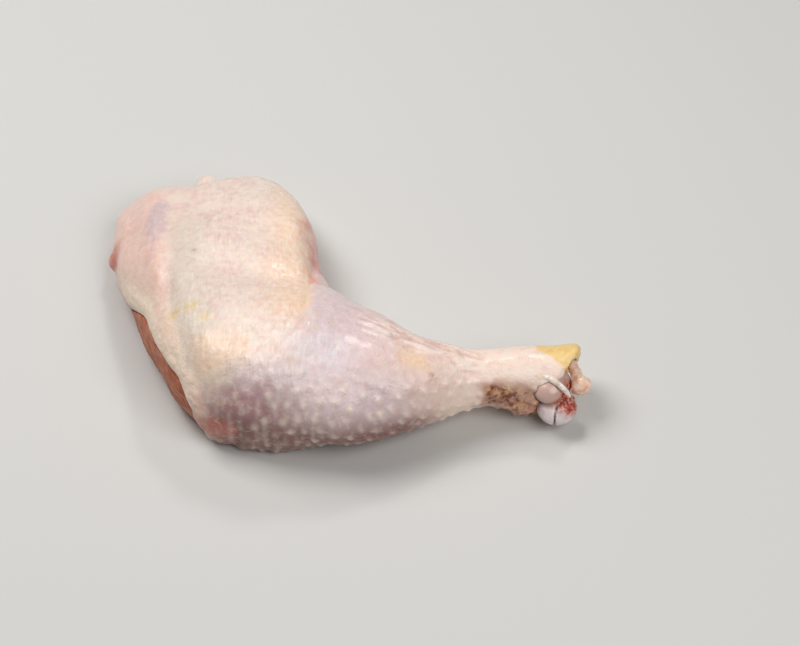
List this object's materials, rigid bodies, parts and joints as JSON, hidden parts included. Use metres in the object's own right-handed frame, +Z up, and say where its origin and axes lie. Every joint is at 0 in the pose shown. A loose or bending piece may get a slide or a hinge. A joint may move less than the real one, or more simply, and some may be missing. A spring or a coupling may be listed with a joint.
{
  "type": "raw chicken leg quarter",
  "caption": "Raw chicken thigh with its drumstick, skin on, lying skin side up; bare meat at the hip side, bone end and tendon at the hock.",
  "frame": {"origin": "middle of the footprint, on the surface it lies on", "axes": "+X from the thigh towards the hock, +Z up out of the skin side, +Y towards the thigh's far end"},
  "size_m": [0.1754, 0.1292, 0.0427],
  "materials": {
    "skin": "moist raw chicken skin, cream to pink",
    "meat": "moist raw meat, dull red-brown",
    "bone": "wet cartilage over bone, bluish white",
    "tendon": "wet white tendon",
    "joint_capsule": "wet tan tissue"
  },
  "bodies": {
    "root": {"skin": "skin", "meat": "meat", "bone": "bone", "tendon": "tendon", "joint_capsule": "joint_capsule"}
  },
  "joints": []
}
